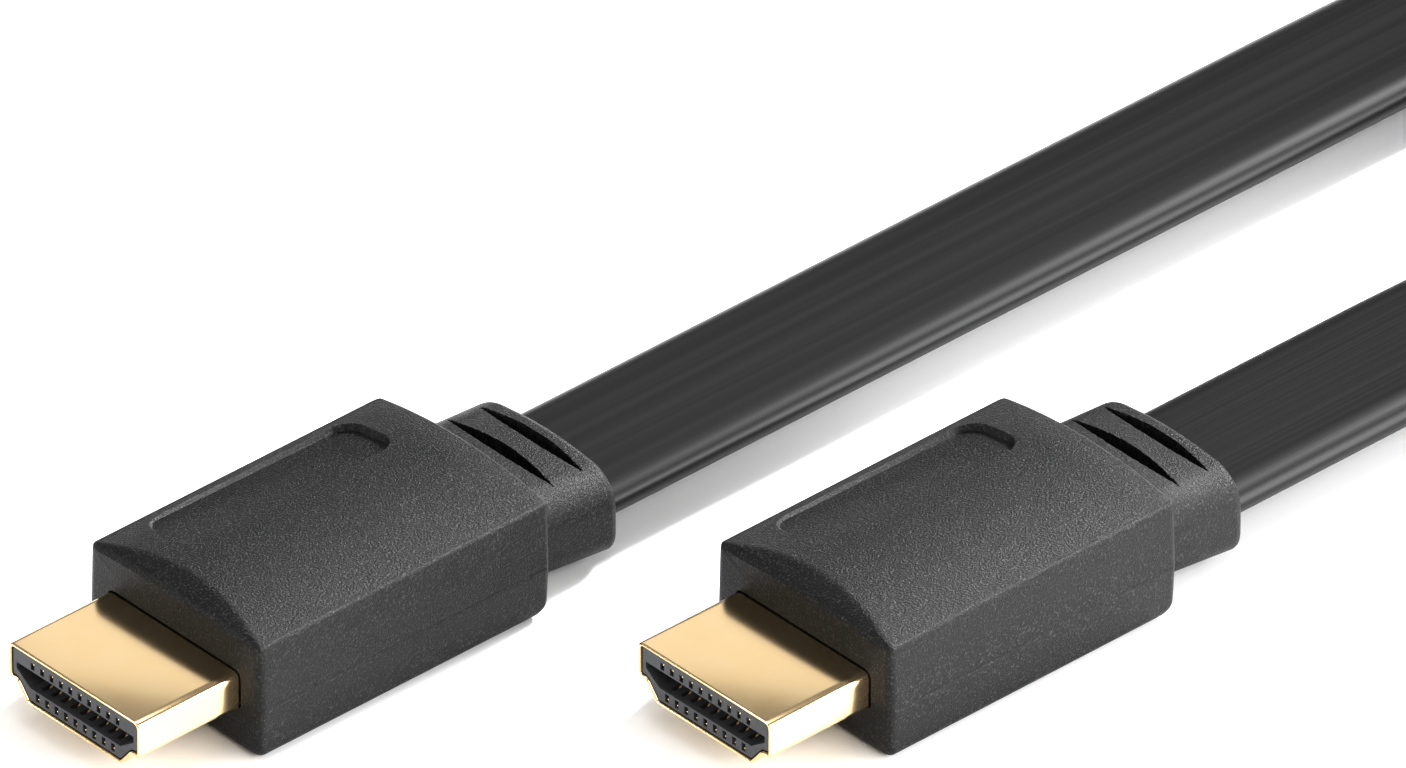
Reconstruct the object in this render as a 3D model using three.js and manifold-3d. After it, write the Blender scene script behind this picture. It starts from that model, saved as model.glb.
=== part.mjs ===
// Flat video cable with two alike plugs, lying side by side, and its spare length rolled up behind them.
// Millimetres, +Z up. Each plug points along -X, and z = 0 is the flat underside of both plugs.

import * as THREE from 'three';
import { mergeVertices } from 'three/addons/utils/BufferGeometryUtils.js';
import Module from 'manifold-3d';

const wasm = await Module();
wasm.setup();

// Where the second plug lies, seen from the first
const PLUG_STAGGER = 32.75;
const PLUG_SPACING = 29.57;

// Moulded housing
const HOUSING_LENGTH = 27.4;
const HOUSING_WIDTH = 18.3;
const HOUSING_EDGE_HEIGHT = 9.35;
const HOUSING_CROWN_RISE = 1.2;
const HOUSING_SIDE_DRAFT = 0.15;
const HOUSING_CORNER_RADIUS = 0.6;
const HOUSING_BOTTOM_RADIUS = 0.7;
const HOUSING_REAR_BOTTOM_RADIUS = 1.3;
const PARTING_HEIGHT = 4.15;

// Sloping crescents where the crown runs out at the front and the rear
const FRONT_EDGE_RISE = 0.35;
const FRONT_CRESCENT_DEPTH = 1.8;
const REAR_EDGE_RISE = 0.97;
const REAR_CRESCENT_DEPTH = 2.15;
const TOP_EDGE_CHAMFER = 0.25;
const TOP_EDGE_CHAMFER_SLOPE = 1.2;

// Shallow recess in the top
const RECESS_START = 4.0;
const RECESS_LENGTH = 19.35;
const RECESS_WIDTH = 5.35;
const RECESS_SIDE_SHIFT = 5.3;
const RECESS_CORNER_RADIUS = 1.8;
const RECESS_REAR_DEPTH = 0.5;
const RECESS_FRONT_DEPTH = 0.2;

// Strain-relief boot
const BOOT_LENGTH = 8.2;
const BOOT_WIDTH = 14.4;
const BOOT_THICKNESS = 6.7;
const BOOT_MIDDLE_HEIGHT = 4.7;
const BOOT_TOP_RADIUS = 2.8;
const BOOT_BOTTOM_RADIUS = 1.5;
const BOOT_REAR_CORNER_RADIUS = 1.2;
const BOOT_REAR_EDGE_RADIUS = 0.5;
const BOOT_REAR_BOW = 0.25;
const BOOT_WIDENING = 0.5;
const BOOT_DROOP = 0.8;
const BOOT_CROWN = 0.3;
const SLOT_COUNT = 2;
const SLOT_PITCH = 2.98;
const FIRST_SLOT_SETBACK = 3.3;
const SLOT_LENGTH = 10.1;
const SLOT_WIDTH = 1.3;
const SLOT_FLOOR_TO_CABLE = 0.35;

// Plug shell of folded sheet
const SHELL_WIDTH = 13.9;
const SHELL_HEIGHT = 4.45;
const SHELL_TOP = 6.5;
const SHELL_REACH = 9.4;
const SHELL_SEAT_DEPTH = 8.0;
const SHELL_SHEET = 0.3;
const SHELL_TOP_RADIUS = 0.6;
const SHELL_SHOULDER_DROP = 3.0;
const SHELL_SHOULDER_HALF_WIDTH = 6.15;
const SHELL_KEEL_HALF_WIDTH = 4.98;
const SHELL_SHOULDER_RADIUS = 0.35;
const SHELL_KEEL_RADIUS = 0.3;

// Insulator inside the shell, with a mouth for the socket's tongue
const INSULATOR_SETBACK = 0.15;
const MOUTH_DEPTH = 7.4;
const MOUTH_HALF_WIDTH = 6.2;
const MOUTH_FLOOR_HALF_WIDTH = 4.8;
const MOUTH_TOP_DROP = 1.5;
const MOUTH_SIDE_DROP = 2.0;
const MOUTH_FLOOR_DROP = 3.0;

// Contacts, in an upper and a lower row
const CONTACT_PITCH = 1.0;
const UPPER_CONTACTS = 10;
const LOWER_CONTACTS = 9;
const CONTACT_WIDTH = 0.22;
const CONTACT_SHEET = 0.16;
const CONTACT_DIP = 0.5;
const CONTACT_SLOPE_LENGTH = 1.5;
const CONTACT_DIP_LENGTH = 1.0;
const CONTACT_LEVEL_LENGTH = 1.5;
const CELL_WIDTH = 0.38;
const CELL_LIP = 0.5;
const UPPER_CELL_TOP = 0.8;
const UPPER_CELL_BOTTOM = 1.35;
const LOWER_CELL_TOP = 3.2;
const LOWER_CELL_BOTTOM = 3.85;

// Flat cable
const CABLE_LENGTH = 1500;
const CABLE_WIDTH = 12.9;
const CABLE_THICKNESS = 2.6;
const CABLE_EDGE_RADIUS = 1.17;
const CABLE_EXIT_HEIGHT = 3.65;
const CABLE_SEAT_DEPTH = 1.5;
const RUN_STEPS = 34;
const RUN_CORNER_STEPS = 2;

// Rolled-up spare length, folded at its middle and wound on edge
const COIL_DISTANCE = 150;
const COIL_STRAND_SPACING = 4.65;
const COIL_INNER_RADIUS = 34;
const COIL_EDGE_RADIUS = 1.2;
const COIL_STEPS = 72;
const COIL_CORNER_STEPS = 3;
const RUN_STOP_BEFORE_COIL = 10;
const TIE_WIDTH = 10;
const TIE_SHEET = 0.8;

// Clearances
const FIT_GAP = 0.3;
const INSERT_GAP = 0.1;
const OVERCUT = 1;
const CURVE_STEPS = 6;
const CROWN_STEPS = 20;

// Worked out from the sizes above
const REAR_END = HOUSING_LENGTH + BOOT_LENGTH;
const PLUG_A_X = (SHELL_REACH - REAR_END - PLUG_STAGGER) / 2;
const PLUG_A_Y = PLUG_SPACING / 2;
const PLUG_B_X = PLUG_A_X + PLUG_STAGGER;
const PLUG_B_Y = PLUG_A_Y - PLUG_SPACING;
const CABLE_START = REAR_END - CABLE_SEAT_DEPTH + FIT_GAP;
const COIL_BOTTOM = TIE_SHEET + FIT_GAP;
const COIL_MIDDLE = COIL_BOTTOM + CABLE_WIDTH / 2;

// Finishes
const FINISHES = {
  housing: { color: '#3a3a3a', roughness: 0.62, metalness: 0 },
  shell: { color: '#d8bf8a', roughness: 0.25, metalness: 1 },
  insulator: { color: '#2d2d2e', roughness: 0.5, metalness: 0 },
  contact: { color: '#e0b060', roughness: 0.3, metalness: 1 },
  cable: { color: '#262626', roughness: 0.38, metalness: 0 },
  tie: { color: '#1b1b1b', roughness: 0.8, metalness: 0 },
};

function material(finish) {
  return new THREE.MeshStandardMaterial(FINISHES[finish]);
}

// Outline through corners [x, y, cut], each rounded from "cut" before it to "cut" after it
function roundedOutline(corners, outline = new THREE.Shape()) {
  corners.forEach(([x, y, cut], index) => {
    const corner = new THREE.Vector2(x, y);
    const before = new THREE.Vector2(...corners.at(index - 1).slice(0, 2));
    const after = new THREE.Vector2(...corners[(index + 1) % corners.length].slice(0, 2));
    const start = corner.clone().add(before.sub(corner).setLength(cut));
    const end = corner.clone().add(after.sub(corner).setLength(cut));
    if (index === 0) {
      outline.moveTo(start.x, start.y);
    } else {
      outline.lineTo(start.x, start.y);
    }
    if (cut > 0) {
      outline.quadraticCurveTo(x, y, end.x, end.y);
    }
  });
  outline.closePath();
  return outline;
}

function boxOutline(left, right, bottom, top, cut = 0) {
  return roundedOutline([
    [left, bottom, cut],
    [right, bottom, cut],
    [right, top, cut],
    [left, top, cut],
  ]);
}

function extrude(outline, depth, curveSegments = CURVE_STEPS) {
  return new THREE.ExtrudeGeometry(outline, { depth, curveSegments, bevelEnabled: false });
}

// Prism of an outline drawn in Y and Z, from one x to another
function alongX(outline, from, to, curveSegments) {
  const turn = new THREE.Matrix4().set(
    0, 0, 1, from,
    1, 0, 0, 0,
    0, 1, 0, 0,
    0, 0, 0, 1,
  );
  return extrude(outline, to - from, curveSegments).applyMatrix4(turn);
}

// Prism of an outline drawn in X and Z, over a width centred on y = middle
function alongY(outline, width, middle = 0, curveSegments) {
  return extrude(outline, width, curveSegments)
    .rotateX(Math.PI / 2)
    .translate(0, middle + width / 2, 0);
}

// Prism of an outline drawn in X and Y, from one height to another
function alongZ(outline, from, to, curveSegments) {
  return extrude(outline, to - from, curveSegments).translate(0, 0, from);
}

function solid(geometry) {
  const bare = geometry.clone();
  bare.deleteAttribute('normal');
  bare.deleteAttribute('uv');
  const merged = mergeVertices(bare);
  return new wasm.Manifold(new wasm.Mesh({
    numProp: 3,
    vertProperties: new Float32Array(merged.attributes.position.array),
    triVerts: new Uint32Array(merged.index.array),
  }));
}

function geometryOf(body) {
  const { vertProperties, triVerts } = body.getMesh();
  const geometry = new THREE.BufferGeometry();
  geometry.setAttribute('position', new THREE.BufferAttribute(vertProperties, 3));
  geometry.setIndex(new THREE.BufferAttribute(triVerts, 1));
  const faceted = geometry.toNonIndexed();
  faceted.computeVertexNormals();
  return faceted;
}

function cutAway(body, cutters) {
  return cutters.reduce((rest, cutter) => rest.subtract(cutter), body);
}

// Everything below a surface that arches across the width and climbs along X
function archedBlock(edgeHeight, rise, slope, lowEnd) {
  const half = HOUSING_WIDTH / 2;
  const reach = half + OVERCUT;
  const fall = rise * (reach / half) ** 2;
  const outline = new THREE.Shape();
  outline.moveTo(-reach, -OVERCUT - slope * (HOUSING_LENGTH + OVERCUT));
  outline.lineTo(reach, -OVERCUT - slope * (HOUSING_LENGTH + OVERCUT));
  outline.lineTo(reach, edgeHeight + rise - fall);
  outline.quadraticCurveTo(0, edgeHeight + rise + fall, -reach, edgeHeight + rise - fall);
  outline.closePath();
  const block = alongX(outline, -OVERCUT, HOUSING_LENGTH + OVERCUT, CROWN_STEPS);
  const direction = lowEnd === 'front' ? 1 : -1;
  const lean = new THREE.Matrix4().set(
    1, 0, 0, 0,
    0, 1, 0, 0,
    direction * slope, 0, 1, lowEnd === 'front' ? 0 : slope * HOUSING_LENGTH,
    0, 0, 0, 1,
  );
  return solid(block.applyMatrix4(lean));
}

function housingBlock() {
  const middle = HOUSING_WIDTH / 2;
  const edge = middle - HOUSING_SIDE_DRAFT;
  const top = HOUSING_EDGE_HEIGHT + HOUSING_CROWN_RISE + OVERCUT;
  const section = roundedOutline([
    [-edge, 0, HOUSING_BOTTOM_RADIUS],
    [edge, 0, HOUSING_BOTTOM_RADIUS],
    [middle, PARTING_HEIGHT, 0],
    [edge, HOUSING_EDGE_HEIGHT, 0],
    [edge, top, 0],
    [-edge, top, 0],
    [-edge, HOUSING_EDGE_HEIGHT, 0],
    [-middle, PARTING_HEIGHT, 0],
  ]);
  const plan = boxOutline(0, HOUSING_LENGTH, -middle, middle, HOUSING_CORNER_RADIUS);
  const side = roundedOutline([
    [0, 0, HOUSING_BOTTOM_RADIUS],
    [HOUSING_LENGTH, 0, HOUSING_REAR_BOTTOM_RADIUS],
    [HOUSING_LENGTH, top, 0],
    [0, top, 0],
  ]);
  const crown = HOUSING_CROWN_RISE;
  const frontSlope = (crown - FRONT_EDGE_RISE) / FRONT_CRESCENT_DEPTH;
  const rearSlope = (crown - REAR_EDGE_RISE) / REAR_CRESCENT_DEPTH;
  const chamferEdge = HOUSING_EDGE_HEIGHT - TOP_EDGE_CHAMFER;
  return solid(alongX(section, 0, HOUSING_LENGTH))
    .intersect(solid(alongZ(plan, -OVERCUT, top + OVERCUT)))
    .intersect(solid(alongY(side, HOUSING_WIDTH + OVERCUT)))
    .intersect(archedBlock(HOUSING_EDGE_HEIGHT, crown, 0, 'front'))
    .intersect(archedBlock(HOUSING_EDGE_HEIGHT, FRONT_EDGE_RISE, frontSlope, 'front'))
    .intersect(archedBlock(HOUSING_EDGE_HEIGHT, REAR_EDGE_RISE, rearSlope, 'rear'))
    .intersect(archedBlock(chamferEdge, FRONT_EDGE_RISE, TOP_EDGE_CHAMFER_SLOPE, 'front'))
    .intersect(archedBlock(chamferEdge, REAR_EDGE_RISE, TOP_EDGE_CHAMFER_SLOPE, 'rear'));
}

// The recess's floor follows the crown, and lies deeper towards the rear
function recessCutter() {
  const half = RECESS_WIDTH / 2;
  const end = RECESS_START + RECESS_LENGTH;
  const top = HOUSING_EDGE_HEIGHT + HOUSING_CROWN_RISE + OVERCUT;
  const plan = boxOutline(
    RECESS_START, end, RECESS_SIDE_SHIFT - half, RECESS_SIDE_SHIFT + half, RECESS_CORNER_RADIUS,
  );
  const slope = (RECESS_REAR_DEPTH - RECESS_FRONT_DEPTH) / RECESS_LENGTH;
  const rearEdge = HOUSING_EDGE_HEIGHT - RECESS_REAR_DEPTH - slope * (HOUSING_LENGTH - end);
  return solid(alongZ(plan, 0, top))
    .subtract(archedBlock(rearEdge, HOUSING_CROWN_RISE, slope, 'rear'));
}

// The boot's section widens and sinks a little towards the cable
function bootBlock() {
  const half = BOOT_WIDTH / 2;
  const low = BOOT_MIDDLE_HEIGHT - BOOT_THICKNESS / 2;
  const high = BOOT_MIDDLE_HEIGHT + BOOT_THICKNESS / 2;
  const start = HOUSING_LENGTH - OVERCUT;
  const cut = BOOT_TOP_RADIUS;
  const lowCut = BOOT_BOTTOM_RADIUS;
  const section = new THREE.Shape();
  section.moveTo(-half + lowCut, low);
  section.lineTo(half - lowCut, low);
  section.quadraticCurveTo(half, low, half, low + lowCut);
  section.lineTo(half, high - cut);
  section.quadraticCurveTo(half, high, half - cut, high);
  section.quadraticCurveTo(0, high + 2 * BOOT_CROWN, -half + cut, high);
  section.quadraticCurveTo(-half, high, -half, high - cut);
  section.lineTo(-half, low + lowCut);
  section.quadraticCurveTo(-half, low, -half + lowCut, low);
  const body = alongX(section, start, REAR_END);
  const place = body.attributes.position;
  for (let index = 0; index < place.count; index += 1) {
    const share = (place.getX(index) - start) / (REAR_END - start);
    place.setY(index, place.getY(index) * (1 + share * BOOT_WIDENING / BOOT_WIDTH));
    place.setZ(index, place.getZ(index) - share * BOOT_DROOP);
  }
  const side = roundedOutline([
    [start, low, 0],
    [REAR_END, low - BOOT_DROOP, BOOT_REAR_EDGE_RADIUS],
    [REAR_END, high + BOOT_CROWN - BOOT_DROOP, BOOT_REAR_EDGE_RADIUS],
    [start, high + BOOT_CROWN, 0],
  ]);
  return solid(body)
    .intersect(solid(alongZ(bootPlan(start), -OVERCUT, high + OVERCUT)))
    .intersect(solid(alongY(side, HOUSING_WIDTH)));
}

function bootPlan(start) {
  const half = (BOOT_WIDTH + BOOT_WIDENING) / 2;
  const cut = BOOT_REAR_CORNER_RADIUS;
  const shoulder = REAR_END - BOOT_REAR_BOW;
  const plan = new THREE.Shape();
  plan.moveTo(start, -half);
  plan.lineTo(shoulder - cut, -half);
  plan.quadraticCurveTo(shoulder, -half, shoulder, -half + cut);
  plan.quadraticCurveTo(REAR_END + BOOT_REAR_BOW, 0, shoulder, half - cut);
  plan.quadraticCurveTo(shoulder, half, shoulder - cut, half);
  plan.lineTo(start, half);
  plan.closePath();
  return plan;
}

// Lens-shaped slots across the boot, above and below the cable
function slotCutters() {
  const cutters = [];
  const clear = CABLE_THICKNESS / 2 + FIT_GAP + SLOT_FLOOR_TO_CABLE;
  for (let index = 0; index < SLOT_COUNT; index += 1) {
    const x = HOUSING_LENGTH + FIRST_SLOT_SETBACK + index * SLOT_PITCH;
    const lens = new THREE.Shape();
    lens.moveTo(x, -SLOT_LENGTH / 2);
    lens.quadraticCurveTo(x + SLOT_WIDTH, 0, x, SLOT_LENGTH / 2);
    lens.quadraticCurveTo(x - SLOT_WIDTH, 0, x, -SLOT_LENGTH / 2);
    cutters.push(solid(alongZ(lens, CABLE_EXIT_HEIGHT + clear, HOUSING_EDGE_HEIGHT)));
    cutters.push(solid(alongZ(lens, -OVERCUT, CABLE_EXIT_HEIGHT - clear)));
  }
  return cutters;
}

function cableSeatCutter() {
  const half = CABLE_WIDTH / 2 + FIT_GAP;
  const rise = CABLE_THICKNESS / 2 + FIT_GAP;
  const hole = boxOutline(-half, half, CABLE_EXIT_HEIGHT - rise, CABLE_EXIT_HEIGHT + rise, rise);
  return solid(alongX(hole, REAR_END - CABLE_SEAT_DEPTH, REAR_END + OVERCUT));
}

// Shell section, drawn this far inside the shell's outer face
function shellOutline(inset) {
  const side = SHELL_WIDTH / 2 - inset;
  const top = SHELL_TOP - inset;
  const shoulder = SHELL_TOP - SHELL_SHOULDER_DROP + inset;
  const keel = SHELL_TOP - SHELL_HEIGHT + inset;
  const slant = inset * (SHELL_SHOULDER_HALF_WIDTH - SHELL_KEEL_HALF_WIDTH) /
    (SHELL_HEIGHT - SHELL_SHOULDER_DROP) / 2;
  const inner = SHELL_SHOULDER_HALF_WIDTH - slant;
  const keelSide = SHELL_KEEL_HALF_WIDTH - slant;
  const sheetCut = (radius) => Math.max(radius - inset, INSERT_GAP);
  return roundedOutline([
    [-keelSide, keel, sheetCut(SHELL_KEEL_RADIUS)],
    [keelSide, keel, sheetCut(SHELL_KEEL_RADIUS)],
    [inner, shoulder, SHELL_SHOULDER_RADIUS],
    [side, shoulder, sheetCut(SHELL_KEEL_RADIUS)],
    [side, top, sheetCut(SHELL_TOP_RADIUS)],
    [-side, top, sheetCut(SHELL_TOP_RADIUS)],
    [-side, shoulder, sheetCut(SHELL_KEEL_RADIUS)],
    [-inner, shoulder, SHELL_SHOULDER_RADIUS],
  ]);
}

function housingSolid() {
  const seat = alongX(shellOutline(-FIT_GAP), -OVERCUT, SHELL_SEAT_DEPTH + FIT_GAP);
  const cutters = [recessCutter(), cableSeatCutter(), solid(seat), ...slotCutters()];
  return cutAway(housingBlock().add(bootBlock()), cutters);
}

function shellSolid() {
  const outside = solid(alongX(shellOutline(0), -SHELL_REACH, SHELL_SEAT_DEPTH));
  const inside = alongX(shellOutline(SHELL_SHEET), -SHELL_REACH - OVERCUT, SHELL_SEAT_DEPTH + OVERCUT);
  return outside.subtract(solid(inside));
}

const INSULATOR_FRONT = INSULATOR_SETBACK - SHELL_REACH;
const MOUTH_END = INSULATOR_FRONT + MOUTH_DEPTH;

function mouthCutter() {
  const mouth = roundedOutline([
    [-MOUTH_FLOOR_HALF_WIDTH, SHELL_TOP - MOUTH_FLOOR_DROP, 0],
    [MOUTH_FLOOR_HALF_WIDTH, SHELL_TOP - MOUTH_FLOOR_DROP, 0],
    [MOUTH_HALF_WIDTH, SHELL_TOP - MOUTH_SIDE_DROP, 0],
    [MOUTH_HALF_WIDTH, SHELL_TOP - MOUTH_TOP_DROP, 0],
    [-MOUTH_HALF_WIDTH, SHELL_TOP - MOUTH_TOP_DROP, 0],
    [-MOUTH_HALF_WIDTH, SHELL_TOP - MOUTH_SIDE_DROP, 0],
  ]);
  return solid(alongX(mouth, INSULATOR_FRONT - OVERCUT, MOUTH_END));
}

// One contact's place: its y, the cell's two drops from the shell's top, and which way the mouth lies
function contactPlaces() {
  const row = (count, top, bottom, mouthDrop, towardsMouth) => {
    const first = -(count - 1) * CONTACT_PITCH / 2;
    return Array.from({ length: count }, (_, index) => ({
      y: first + index * CONTACT_PITCH,
      top,
      bottom,
      mouthDrop,
      towardsMouth,
    }));
  };
  return [
    ...row(UPPER_CONTACTS, UPPER_CELL_TOP, UPPER_CELL_BOTTOM, MOUTH_TOP_DROP, -1),
    ...row(LOWER_CONTACTS, LOWER_CELL_TOP, LOWER_CELL_BOTTOM, MOUTH_FLOOR_DROP, 1),
  ];
}

// A cell is a closed window through the lip, and open to the mouth behind it
function cellCutters({ y, top, bottom, mouthDrop, towardsMouth }) {
  const half = CELL_WIDTH / 2;
  const window = boxOutline(y - half, y + half, SHELL_TOP - bottom, SHELL_TOP - top);
  const openEdge = SHELL_TOP - mouthDrop + towardsMouth * INSERT_GAP;
  const closedEdge = SHELL_TOP - (towardsMouth < 0 ? top : bottom);
  const low = Math.min(openEdge, closedEdge);
  const high = Math.max(openEdge, closedEdge);
  const groove = boxOutline(y - half, y + half, low, high);
  return [
    solid(alongX(window, INSULATOR_FRONT - OVERCUT, MOUTH_END)),
    solid(alongX(groove, INSULATOR_FRONT + CELL_LIP, MOUTH_END)),
  ];
}

function insulatorSolid() {
  const outline = shellOutline(SHELL_SHEET + INSERT_GAP);
  const block = solid(alongX(outline, INSULATOR_FRONT, SHELL_SEAT_DEPTH));
  return cutAway(block, [mouthCutter(), ...contactPlaces().flatMap(cellCutters)]);
}

// Spring contact: a strip that dips into the mouth behind the lip and ends in its cell
function contactSolid({ y, top, bottom, towardsMouth }) {
  const backOff = CONTACT_SHEET / 2 + INSERT_GAP;
  const rest = SHELL_TOP - (towardsMouth < 0 ? top + backOff : bottom - backOff);
  const dip = rest + towardsMouth * (bottom - top + CONTACT_DIP);
  const tipX = INSULATOR_FRONT + INSERT_GAP;
  const bendX = INSULATOR_FRONT + CELL_LIP + INSERT_GAP;
  const dipX = bendX + CONTACT_SLOPE_LENGTH;
  const endX = MOUTH_END - INSERT_GAP;
  const spine = [
    [tipX, rest],
    [bendX, rest],
    [dipX, dip],
    [dipX + CONTACT_DIP_LENGTH, dip],
    [endX - CONTACT_LEVEL_LENGTH, rest],
    [endX, rest],
  ];
  const edge = (offset) => spine.map(([x, z]) => [x, z + offset, 0]);
  const strip = [...edge(-CONTACT_SHEET / 2), ...edge(CONTACT_SHEET / 2).reverse()];
  return solid(alongY(roundedOutline(strip), CONTACT_WIDTH, y));
}

// Route of a flat cable: points [x, y, z, turn], where turn is the section's roll in degrees
class FlatRoute extends THREE.Curve {
  constructor(points) {
    super();
    this.line = new THREE.CatmullRomCurve3(points.map(([x, y, z]) => new THREE.Vector3(x, y, z)));
    this.roll = new THREE.CatmullRomCurve3(points.map((point) => new THREE.Vector3(point[3], 0, 0)));
  }

  getPoint(share, target = new THREE.Vector3()) {
    return this.line.getPoint(share, target);
  }

  // The section's width lies level at 0 degrees and upright at 90
  computeFrenetFrames(segments) {
    const frames = { tangents: [], normals: [], binormals: [] };
    const up = new THREE.Vector3(0, 0, 1);
    for (let index = 0; index <= segments; index += 1) {
      const share = index / segments;
      const roll = this.roll.getPoint(this.getUtoTmapping(share)).x;
      const tangent = this.getTangentAt(share);
      const across = up.clone().cross(tangent).normalize();
      const normal = across.applyAxisAngle(tangent, THREE.MathUtils.degToRad(roll));
      frames.tangents.push(tangent);
      frames.normals.push(normal);
      frames.binormals.push(tangent.clone().cross(normal));
    }
    return frames;
  }
}

// Level in line with its plug, then on to its edge, and straight to the roll
const ROUTE_A = new FlatRoute([
  [PLUG_A_X + CABLE_START, PLUG_A_Y, CABLE_EXIT_HEIGHT, 0],
  [22, PLUG_A_Y, CABLE_EXIT_HEIGHT, 0],
  [41, PLUG_A_Y, CABLE_EXIT_HEIGHT, 0],
  [60, PLUG_A_Y, CABLE_EXIT_HEIGHT, 0],
  [79, PLUG_A_Y, CABLE_EXIT_HEIGHT, 0],
  [98, PLUG_A_Y, CABLE_EXIT_HEIGHT, 0],
  [106, PLUG_A_Y, 3.8, 14],
  [113, PLUG_A_Y, 5.1, 38],
  [120, PLUG_A_Y, 6.5, 64],
  [127, PLUG_A_Y, 6.8, 84],
  [135, PLUG_A_Y, 7.2, 90],
  [142, PLUG_A_Y, COIL_MIDDLE, 90],
  [COIL_DISTANCE, PLUG_A_Y, COIL_MIDDLE, 90],
]);

// The same, then across to lie beside the other strand
const ROUTE_B = new FlatRoute([
  [PLUG_B_X + CABLE_START, PLUG_B_Y, CABLE_EXIT_HEIGHT, 0],
  [50, PLUG_B_Y, CABLE_EXIT_HEIGHT, 0],
  [61, PLUG_B_Y, CABLE_EXIT_HEIGHT, 0],
  [72, PLUG_B_Y, CABLE_EXIT_HEIGHT, 0],
  [80, PLUG_B_Y, 3.8, 14],
  [87, -14.2, 5.1, 38],
  [94, -12.5, 6.5, 64],
  [101, -9.3, 6.8, 84],
  [109, -4.9, 6.95, 90],
  [118, 0.4, 7.15, 90],
  [126, 5.0, 7.35, 90],
  [134, 8.1, 7.5, 90],
  [142, 9.85, COIL_MIDDLE, 90],
  [COIL_DISTANCE, PLUG_A_Y - COIL_STRAND_SPACING, COIL_MIDDLE, 90],
]);

// Radius of the outermost strand of a roll that takes up the spare length. Two spirals of pitch
// 2s, half a turn apart, run from the outside to two half circles that join them at the centre.
function coilRadius() {
  const spare = CABLE_LENGTH - ROUTE_A.getLength() - ROUTE_B.getLength();
  const inner = COIL_INNER_RADIUS;
  const spacing = COIL_STRAND_SPACING;
  const squares = (spare - Math.PI * inner) * 2 * spacing / Math.PI + 2 * inner ** 2;
  return (spacing + Math.sqrt(2 * squares - spacing ** 2)) / 2;
}

const COIL_RADIUS = coilRadius();
const COIL_OUTSIDE = COIL_RADIUS + CABLE_THICKNESS / 2;
const COIL_INSIDE = COIL_INNER_RADIUS - CABLE_THICKNESS / 2;
const COIL_CENTRE = new THREE.Vector3(COIL_DISTANCE, PLUG_A_Y - COIL_RADIUS, 0);

// Ring of the roll's outer shape, grown by a margin all round, or further below
function coilSolid(margin = 0, below = margin) {
  const outline = boxOutline(
    COIL_INSIDE - margin,
    COIL_OUTSIDE + margin,
    COIL_BOTTOM - below,
    COIL_BOTTOM + CABLE_WIDTH + margin,
    COIL_EDGE_RADIUS,
  );
  const profile = outline.getPoints(COIL_CORNER_STEPS);
  const ring = new THREE.LatheGeometry(profile, COIL_STEPS).rotateX(Math.PI / 2);
  return solid(ring).translate(COIL_CENTRE.toArray());
}

function cableRun(route) {
  const half = CABLE_WIDTH / 2;
  const rise = CABLE_THICKNESS / 2;
  const section = boxOutline(-half, half, -rise, rise, CABLE_EDGE_RADIUS);
  const run = new THREE.ExtrudeGeometry(section, {
    steps: RUN_STEPS,
    curveSegments: RUN_CORNER_STEPS,
    extrudePath: route,
  });
  const stopX = COIL_DISTANCE - RUN_STOP_BEFORE_COIL;
  const room = boxOutline(PLUG_A_X, stopX, -COIL_DISTANCE, COIL_DISTANCE);
  return solid(run)
    .intersect(solid(alongZ(room, -CABLE_WIDTH, 2 * CABLE_WIDTH)))
    .subtract(coilSolid(FIT_GAP, COIL_BOTTOM + OVERCUT));
}

// Band wrapped once round the roll, square to the fold at its centre
function tieSolid() {
  const near = Math.sqrt(COIL_INSIDE ** 2 - (TIE_WIDTH / 2) ** 2) - FIT_GAP;
  const far = COIL_OUTSIDE + FIT_GAP;
  const low = TIE_SHEET;
  const high = COIL_BOTTOM + CABLE_WIDTH + FIT_GAP;
  const outer = boxOutline(near - TIE_SHEET, far + TIE_SHEET, 0, high + TIE_SHEET, COIL_EDGE_RADIUS);
  const inner = boxOutline(near, far, low, high, COIL_EDGE_RADIUS - TIE_SHEET);
  const turns = (COIL_RADIUS - COIL_INNER_RADIUS) / (2 * COIL_STRAND_SPACING);
  return solid(alongY(outer, TIE_WIDTH))
    .subtract(solid(alongY(inner, TIE_WIDTH + OVERCUT)))
    .rotate([0, 0, -360 * turns])
    .translate(COIL_CENTRE.toArray());
}

function addPiece(parent, name, body, finish) {
  const piece = new THREE.Mesh(geometryOf(body), material(finish));
  piece.name = name;
  parent.add(piece);
}

function plug(name, x, y) {
  const group = new THREE.Group();
  addPiece(group, `${name}_housing`, housingSolid(), 'housing');
  addPiece(group, `${name}_shell`, shellSolid(), 'shell');
  addPiece(group, `${name}_insulator`, insulatorSolid(), 'insulator');
  contactPlaces().forEach((place, index) => {
    const number = String(index + 1).padStart(2, '0');
    addPiece(group, `${name}_contact_${number}`, contactSolid(place), 'contact');
  });
  group.position.set(x, y, 0);
  return group;
}

const cable = new THREE.Group();
cable.add(plug('plug_a', PLUG_A_X, PLUG_A_Y));
cable.add(plug('plug_b', PLUG_B_X, PLUG_B_Y));
addPiece(cable, 'cable_run_a', cableRun(ROUTE_A), 'cable');
addPiece(cable, 'cable_run_b', cableRun(ROUTE_B), 'cable');
addPiece(cable, 'cable_coil', coilSolid(), 'cable');
addPiece(cable, 'coil_tie', tieSolid(), 'tie');

export default cable;
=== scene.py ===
# %% [markdown]
# A flat video cable with two alike plugs. First the tools and the measured model.

# %% Tools and the measured parts
import math

import bmesh
import bpy
import numpy as np
from mathutils import Matrix, Quaternion, Vector


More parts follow.
